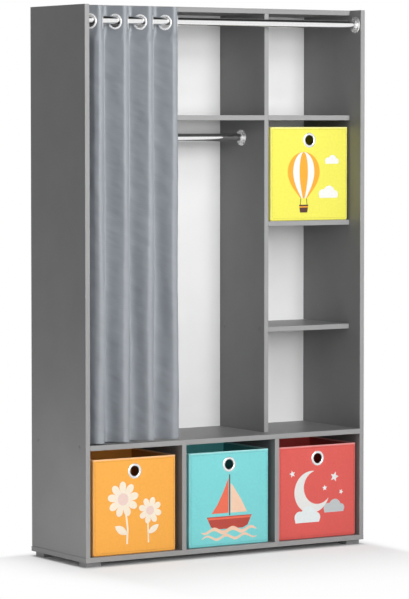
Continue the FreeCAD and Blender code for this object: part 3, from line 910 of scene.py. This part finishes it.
def part_finishes(box, low, high):
    """Marks which faces of a box are fabric, trim on the rim and outer corner seams in a lighter tone that
    is a painted highlight, or lining in a darker tone that is painted shade.
    """
    fabric, highlit_trim, shaded_lining = range(3)
    centre = (low + high) / 2
    for face in box.data.polygons:
        outward = face.center - centre
        facing = face.normal.x * outward.x + face.normal.y * outward.y
        at_corner = min(abs(face.normal.x), abs(face.normal.y)) > SEAM_TURN
        # The rim and the outer corner seams take the lighter trim, a painted highlight
        if face.center.z > high.z - BINDING_HEIGHT or (at_corner and facing > 0):
            face.material_index = highlit_trim
        # Faces that look inwards, and the inner floor, take the darker lining, painted shade
        elif facing < -MM or (faces_up(face) and abs(outward.z) > BOX_WALL):
            face.material_index = shaded_lining
        else:
            face.material_index = fabric


def make_stitch_row(length, rises):
    """A row of short round stitches about the origin, along X or up."""
    half = Vector((STITCH_LENGTH / 2, STITCH_WIDTH / 2, STITCH_WIDTH / 2))
    step = Vector((STITCH_PITCH, 0, 0))
    if rises:
        half = half.zyx
        step = step.zyx
    count = int(length / STITCH_PITCH)
    row = new_block("box_stitches", -half, half)
    open_mesh(row)
    bpy.ops.mesh.select_all(action="SELECT")
    bpy.ops.mesh.bevel(offset=STITCH_ROUND, segments=1, affect="EDGES")
    bpy.ops.transform.translate(value=step * (1 - count) / 2)
    close_mesh()
    apply_modifier(
        row,
        "ARRAY",
        count=count,
        use_relative_offset=False,
        use_constant_offset=True,
        constant_offset_displace=step,
    )
    return row


def make_stitches(low, high):
    """Rows of stitches just inside the edges of all four sides of a box."""
    centre = (low + high) / 2
    size = high - low
    rows = []
    for turn in range(4):
        width, depth = (size.x, size.y) if turn % 2 == 0 else (size.y, size.x)
        x_row = width / 2 - STITCH_INSET
        z_row = size.z / 2 - STITCH_INSET
        for rises, x, z in ((False, 0, z_row), (False, 0, -z_row), (True, x_row, 0), (True, -x_row, 0)):
            row = make_stitch_row(2 * (z_row if rises else x_row), rises)
            row.location = (x, -depth / 2 + STITCH_WIDTH / 4, z)
            fix_place(row)
            row.rotation_euler.z = turn * math.pi / 2
            row.location = centre
            fix_place(row)
            rows.append(row)
    return join(rows, "box_stitches")


def make_finger_ring(low, high):
    """The eyelet of a finger hole: a domed ring on each face of the wall and a hub through it."""
    centre = (low + high) / 2
    parts = []
    for side in (low.y + RING_RISE, high.y - RING_RISE):
        clear_selection()
        bpy.ops.mesh.primitive_torus_add(
            major_radius=HUB_RADIUS + RING_BAND / 2,
            minor_radius=RING_BAND / 2,
            major_segments=72,
            minor_segments=20,
            location=(centre.x, side, centre.z),
            rotation=QUARTER_TURN,
        )
        ring = bpy.context.object
        ring.scale.z = RING_RISE / (RING_BAND / 2)
        fix_place(ring)
        smooth(ring, 60.0)
        set_finish(ring, RING_NICKEL)
        parts.append(ring)
    clear_selection()
    bpy.ops.mesh.primitive_cylinder_add(
        vertices=72,
        radius=HUB_RADIUS + MM,
        depth=high.y - low.y - 2 * RING_RISE,
        end_fill_type="NOTHING",
        location=centre,
        rotation=QUARTER_TURN,
    )
    hub = bpy.context.object
    fix_place(hub)
    apply_modifier(hub, "SOLIDIFY", thickness=HUB_WALL, offset=-1.0)
    smooth(hub, 30.0)
    # The hub's dark tone is painted shade inside the finger hole
    set_finish(hub, HUB_PAINTED_SHADE)
    return join(parts + [hub], "box_ring")


def make_base_board(low, high):
    """The loose board in a box, covered in fabric with a sewn groove round its border."""
    board = new_block("box_base", low, high)
    open_mesh(board)
    pick(board, "FACE", faces_up)
    for width in (BORDER_WIDTH, GROOVE_WIDTH / 2, GROOVE_WIDTH / 2):
        bpy.ops.mesh.inset(thickness=width)

    def in_groove(edge):
        places = [corner.co for corner in edge.verts]
        from_side = [min(*(place - low).xy, *(high - place).xy) for place in places]
        return all(abs(width - BORDER_WIDTH - GROOVE_WIDTH / 2) < NEAR for width in from_side)

    pick(board, "EDGE", in_groove)
    bpy.ops.transform.translate(value=(0, 0, -GROOVE_DEPTH))
    pick(board, "EDGE", upright)
    bpy.ops.mesh.bevel(offset=BOARD_CORNER, segments=LINING_STEPS, affect="EDGES")
    close_mesh()
    round_edges(board, 3)
    smooth(board, 40.0)
    return board


def make_boxes():
    """Models the box once, copies it to the other bays, and gives each its colour and its body."""
    first = next(iter(BOX_DYES))
    first_low, first_high = box_room(first)
    ring_low, ring_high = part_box(first + "_box_eyelet")
    shell = make_box_shell(first_low, first_high, (ring_low + ring_high) / 2)
    stitches = make_stitches(first_low, first_high)
    ring = make_finger_ring(ring_low, ring_high)
    base = make_base_board(*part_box(first + "_box_base_board"))
    for colour in BOX_DYES:
        offset = box_room(colour)[0] - first_low
        body = colour + "_box"
        if colour == first:
            pieces = [shell, stitches, ring, base]
        else:
            pieces = [copy_piece(piece, offset) for piece in (shell, stitches, ring, base)]
        for piece, part in zip(pieces, ("_box_walls", "_box_stitches", "_box_ring", "_box_base")):
            piece.name = colour + part
            piece.data.name = colour + part
        walls, rows, eyelet, board = pieces
        set_finish(walls, FINISHES[colour + "_fabric"], HIGHLIT_TRIMS[colour], SHADED_LININGS[colour])
        # Stitches in the darker thread: painted shade along the seams
        set_finish(rows, SHADED_THREADS[colour])
        # The base board takes the darker lining: painted shade inside the box
        set_finish(board, SHADED_LININGS[colour])
        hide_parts(body + "_cover", body + "_wall_boards", body + "_lining")
        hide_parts(body + "_eyelet")
        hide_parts(body + "_base_board")
        for piece in (walls, rows, eyelet):
            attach(piece, body)
        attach(board, colour + "_base")


make_boxes()


# Prints on the box fronts, in millimetres from the middle of a front

def turned(x, z, a, b, lean):
    """A point off another one, turned about it by an angle."""
    return (x + a * math.cos(lean) - b * math.sin(lean), z + a * math.sin(lean) + b * math.cos(lean))


def oval(x, z, half_width, half_height, steps=64):
    turns = [2 * math.pi * step / steps for step in range(steps)]
    return [(x + half_width * math.cos(turn), z + half_height * math.sin(turn)) for turn in turns]


def daisy(x, z, reach, petals, lean):
    """One outline of round petals."""
    points = []
    steps = petals * 16
    for step in range(steps):
        turn = 2 * math.pi * step / steps
        swell = abs(math.cos(petals * turn / 2)) ** 0.55
        radius = reach * (0.52 + 0.48 * swell)
        points.append((x + radius * math.cos(turn + lean), z + radius * math.sin(turn + lean)))
    return points


def leaf(x, z, length, width, lean):
    """A pointed leaf that starts at a point and leans by an angle."""
    points = []
    steps = 20
    for side in (1, -1):
        for step in range(steps):
            share = step / steps if side == 1 else 1 - step / steps
            out = side * width / 2 * math.sin(math.pi * share) ** 0.8
            points.append(turned(x, z, length * share, out, lean))
    return points


def ribbon(path, width):
    """A narrow band along a line of points."""
    left = []
    right = []
    for number, (x, z) in enumerate(path):
        before = path[max(number - 1, 0)]
        after = path[min(number + 1, len(path) - 1)]
        way = Vector((after[0] - before[0], after[1] - before[1])).normalized()
        left.append((x - way.y * width / 2, z + way.x * width / 2))
        right.append((x + way.y * width / 2, z - way.x * width / 2))
    return left + right[::-1]


def cloud(x, z, width):
    """A flat based cloud of three humps."""
    humps = ((-0.28, 0.16, 0.20), (0.04, 0.22, 0.28), (0.32, 0.14, 0.17))
    points = []
    steps = 60
    for step in range(steps + 1):
        place = -0.48 + 0.97 * step / steps
        tops = [
            rise + math.sqrt(reach**2 - (place - shift) ** 2)
            for shift, rise, reach in humps
            if abs(place - shift) < reach
        ]
        points.append((x + place * width, z + max(tops, default=0.14) * width))
    return points[::-1] + [(x - 0.44 * width, z), (x + 0.44 * width, z)]


def star(x, z, reach, lean):
    points = []
    corners = 5
    for step in range(2 * corners):
        turn = lean + math.pi * step / corners
        radius = reach if step % 2 == 0 else 0.45 * reach
        points.append((x + radius * math.cos(turn), z + radius * math.sin(turn)))
    return points


def crescent(x, z, reach, lean):
    """A moon's sickle between two arcs that meet in its tips, open along an angle."""
    steps = 40
    tip = math.radians(50)
    hub = 0.40 * reach
    tip_x = reach * math.cos(tip) - hub
    tip_z = reach * math.sin(tip)
    inner = math.hypot(tip_x, tip_z)
    inner_tip = math.atan2(tip_z, tip_x)
    points = []
    for step in range(steps + 1):
        turn = tip + 2 * (math.pi - tip) * step / steps
        points.append((reach * math.cos(turn), reach * math.sin(turn)))
    for step in range(1, steps):
        turn = -inner_tip - 2 * (math.pi - inner_tip) * step / steps
        points.append((hub + inner * math.cos(turn), inner * math.sin(turn)))
    return [turned(x, z, a, b, lean) for a, b in points]


def balloon_half_width(z):
    """Half the width of the balloon's envelope at a height over its widest line."""
    if z >= 0:
        return 62.0 * math.sqrt(max(1 - (z / 64.0) ** 2, 0))
    return 13.0 + 49.0 * math.cos(min(-z / 84.0, 1.0) * math.pi / 2)


def balloon_gore(x, z, left, right):
    """The part of the envelope between two shares of its half width."""
    heights = [-84 + 148 * (1 - math.cos(math.pi * step / 48)) / 2 for step in range(49)]
    up = [(x + right * balloon_half_width(h), z + h) for h in heights]
    over = [(x + left * balloon_half_width(h), z + h) for h in heights[::-1]]
    return up + over


def wave_band(z, thickness, length, phase):
    """A band of water across a front, with ripples and thin ends."""
    top = []
    bottom = []
    steps = 60
    for step in range(steps + 1):
        x = -105 + 210 * step / steps
        ripple = 6 * math.sin(2 * math.pi * x / length + phase)
        taper = math.sin(math.pi * step / steps) ** 0.4
        top.append((x, z + ripple + thickness / 2 * taper))
        bottom.append((x, z + ripple - thickness / 2 * taper))
    return top + bottom[1:-1][::-1]


PRINTS = {
    "yellow": [
        (0, "amber", balloon_gore(-22, 6, -1.0, 1.0)),
        (1, "white", balloon_gore(-22, 6, -0.66, -0.26)),
        (1, "white", balloon_gore(-22, 6, 0.26, 0.66)),
        (0, "brown", ribbon([(-33, -79), (-35, -100)], 2.4)),
        (0, "brown", ribbon([(-11, -79), (-9, -100)], 2.4)),
        (0, "brown", [(-40, -99), (-4, -99), (-8, -124), (-36, -124)]),
        (1, "amber", ribbon([(-39, -106), (-5, -106)], 4.0)),
        (0, "white", cloud(74, -78, 78)),
        (0, "white", cloud(88, 32, 56)),
    ],
    "orange": [
        (0, "cream", ribbon([(-40, 10), (-30, -35), (-26, -70), (-28, -118)], 6.0)),
        (0, "cream", ribbon([(54, -22), (48, -60), (50, -118)], 5.0)),
        (0, "cream", leaf(-27, -88, 52, 24, math.radians(148))),
        (0, "cream", leaf(49, -90, 46, 20, math.radians(34))),
        (1, "cream", daisy(-42, 22, 56, 9, 0.2)),
        (2, "blush", oval(-42, 22, 19, 19)),
        (1, "cream", daisy(56, -18, 42, 8, 0.5)),
        (2, "blush", oval(56, -18, 14, 14)),
    ],
    "turquoise": [
        (0, "coral", [(-2, 66), (-2, -46), (-66, -46), (-44, -18), (-20, 26)]),
        (0, "peach", [(6, 46), (10, 46), (46, -6), (68, -46), (6, -46)]),
        (0, "brown", ribbon([(2, 76), (2, -54)], 4.0)),
        (0, "rust", [(-84, -56), (86, -56), (70, -88), (52, -96), (-50, -96), (-68, -88)]),
        (1, "coral", ribbon([(-80, -62), (82, -62)], 6.0)),
        (1, "peach", wave_band(-101, 13, 70, 0.4)),
        (0, "peach", wave_band(-122, 9, 70, 2.6)),
    ],
    "red": [
        (0, "white", crescent(-22, 0, 68, math.radians(32))),
        (1, "pale", cloud(-40, -98, 104)),
        (0, "silver", cloud(64, -70, 84)),
        (0, "white", star(66, 44, 17, 1.3)),
        (0, "pale", star(28, 10, 10, 1.6)),
        (0, "white", star(92, -6, 9, 1.1)),
        (0, "pale", star(-98, 62, 12, 1.8)),
    ],
}


def make_film(outline, layer, centre, ink):
    """A printed patch in the plane of a box front: a closed outline, filled and given its thickness."""
    clear_selection()
    bpy.ops.mesh.primitive_circle_add(vertices=len(outline), radius=MM, location=(0, 0, 0))
    patch = bpy.context.object
    y = centre.y - layer * FILM - FILM_LIFT
    for vertex, (x, z) in zip(patch.data.vertices, outline):
        vertex.co = (centre.x + x * MM, y, centre.z + z * MM)
    open_mesh(patch)
    bpy.ops.mesh.select_all(action="SELECT")
    bpy.ops.mesh.edge_face_add()
    bpy.ops.mesh.extrude_region_move(TRANSFORM_OT_translate={"value": (0, -FILM, 0)})
    bpy.ops.mesh.select_all(action="SELECT")
    bpy.ops.mesh.normals_make_consistent(inside=False)
    close_mesh()
    set_finish(patch, ink)
    return patch


def make_prints():
    """The films of each box front as one piece that rides on its box."""
    for colour, patches in PRINTS.items():
        low, high = box_room(colour)
        centre = Vector(((low.x + high.x) / 2, low.y, (low.z + high.z) / 2))
        films = [make_film(outline, layer, centre, INKS[ink]) for layer, ink, outline in patches]
        print_piece = join(films, colour + "_box_print")
        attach(print_piece, colour + "_box")


make_prints()


# Stage, light and camera

def seen_rays(tree):
    """1 for rays from the camera and for those seen in metal or through glass."""
    path = add_node(tree, "ShaderNodeLightPath")
    kinds = ("Is Camera Ray", "Is Glossy Ray", "Is Transmission Ray")
    return sum_of(tree, *(path.outputs[kind] for kind in kinds), operation="MAXIMUM")


def mix_surfaces(tree, factor, first, second, output):
    """Leads two shaders to the output, the second by a factor."""
    made = add_node(tree, "ShaderNodeMixShader")
    tree.links.new(factor, made.inputs[0])
    tree.links.new(first.outputs[0], made.inputs[1])
    tree.links.new(second.outputs[0], made.inputs[2])
    tree.links.new(made.outputs[0], tree.nodes[output].inputs["Surface"])


def beyond(tree, first, second, pace):
    """How far the first of two places lies past the second, times a pace, and nothing short of it."""
    past = sum_of(tree, first, second, operation="SUBTRACT")
    return sum_of(tree, sum_of(tree, past, 0.0, operation="MAXIMUM"), pace, operation="MULTIPLY")


def make_floor():
    """A pale floor that keeps the soft shadow and runs out into the white ground."""
    clear_selection()
    bpy.ops.mesh.primitive_plane_add(size=FLOOR_SIZE, location=(0, 0, 0))
    floor = bpy.context.object
    floor.name = "floor"
    material, tree, shader = new_finish("floor_white")
    place = add_node(tree, "ShaderNodeTexCoord")
    parts = add_node(tree, "ShaderNodeSeparateXYZ")
    tree.links.new(place.outputs["Object"], parts.inputs[0])
    x, y = parts.outputs["X"], parts.outputs["Y"]
    reach = sum_of(
        tree,
        beyond(tree, CAD_LOW.y, y, 1.0),
        beyond(tree, CAD_LOW.x, x, LEFT_PACE),
        beyond(tree, x, CAD_HIGH.x, RIGHT_PACE),
        beyond(tree, y, CAD_HIGH.y, REAR_PACE),
    )
    far = add_node(tree, "ShaderNodeValToRGB")
    far.color_ramp.elements[0].color = grey(0.0)
    far.color_ramp.elements[1].color = grey(1.0)
    for distance, share in FLOOR_WHITENING:
        far.color_ramp.elements.new(distance).color = grey(share)
    tree.links.new(reach, far.inputs["Fac"])
    shader.inputs["Base Color"].default_value = grey(FLOOR_TONE)
    shader.inputs["Roughness"].default_value = 0.9
    shader.inputs["Specular IOR Level"].default_value = 0.0
    ground = add_node(tree, "ShaderNodeEmission", {"Color": grey(1.0), "Strength": 1.0})
    whitened = sum_of(tree, seen_rays(tree), far.outputs["Color"], operation="MULTIPLY")
    mix_surfaces(tree, whitened, shader, ground, "Material Output")
    set_finish(floor, material)


def make_world():
    """White ground all round with a dark ceiling overhead for what shines, and a low even light."""
    world = bpy.data.worlds.new("studio")
    bpy.context.scene.world = world
    world.use_nodes = True
    tree = world.node_tree
    even = tree.nodes["Background"]
    even.inputs["Color"].default_value = grey(1.0)
    even.inputs["Strength"].default_value = EVEN_LIGHT
    place = add_node(tree, "ShaderNodeTexCoord")
    parts = add_node(tree, "ShaderNodeSeparateXYZ")
    tree.links.new(place.outputs["Generated"], parts.inputs[0])
    ceiling = ramp(tree, parts.outputs["Z"], grey(1.0), grey(CEILING_TONE), *CEILING_SPAN)
    ground = add_node(tree, "ShaderNodeBackground", {"Strength": 1.0})
    tree.links.new(ceiling, ground.inputs["Color"])
    mix_surfaces(tree, seen_rays(tree), even, ground, "World Output")


def make_lamp(name, place, aim, size, power, fan):
    """A soft box lamp; a narrow fan keeps its light near the line to its aim."""
    lamp = bpy.data.lights.new(name, "AREA")
    lamp.spread = fan
    lamp.shape = "RECTANGLE"
    lamp.size, lamp.size_y = size
    lamp.energy = power
    holder = bpy.data.objects.new(name, lamp)
    holder.location = place
    holder.rotation_mode = "QUATERNION"
    holder.rotation_quaternion = (Vector(aim) - Vector(place)).to_track_quat("-Z", "Y")
    holder.visible_camera = False
    bpy.context.scene.collection.objects.link(holder)


def make_camera():
    view = bpy.data.cameras.new("camera")
    view.lens = CAMERA_LENS
    view.sensor_width = CAMERA_SENSOR
    holder = bpy.data.objects.new("camera", view)
    flat = math.cos(CAMERA_PITCH)
    ahead = Vector((math.sin(CAMERA_YAW) * flat, math.cos(CAMERA_YAW) * flat, math.sin(CAMERA_PITCH)))
    holder.location = CAMERA_PLACE
    holder.rotation_mode = "QUATERNION"
    holder.rotation_quaternion = ahead.to_track_quat("-Z", "Y")
    bpy.context.scene.collection.objects.link(holder)
    bpy.context.scene.camera = holder


make_floor()
make_world()
for lamp_name, settings in LAMPS.items():
    make_lamp(lamp_name, *settings)
make_camera()
bpy.context.scene.view_settings.view_transform = "Standard"
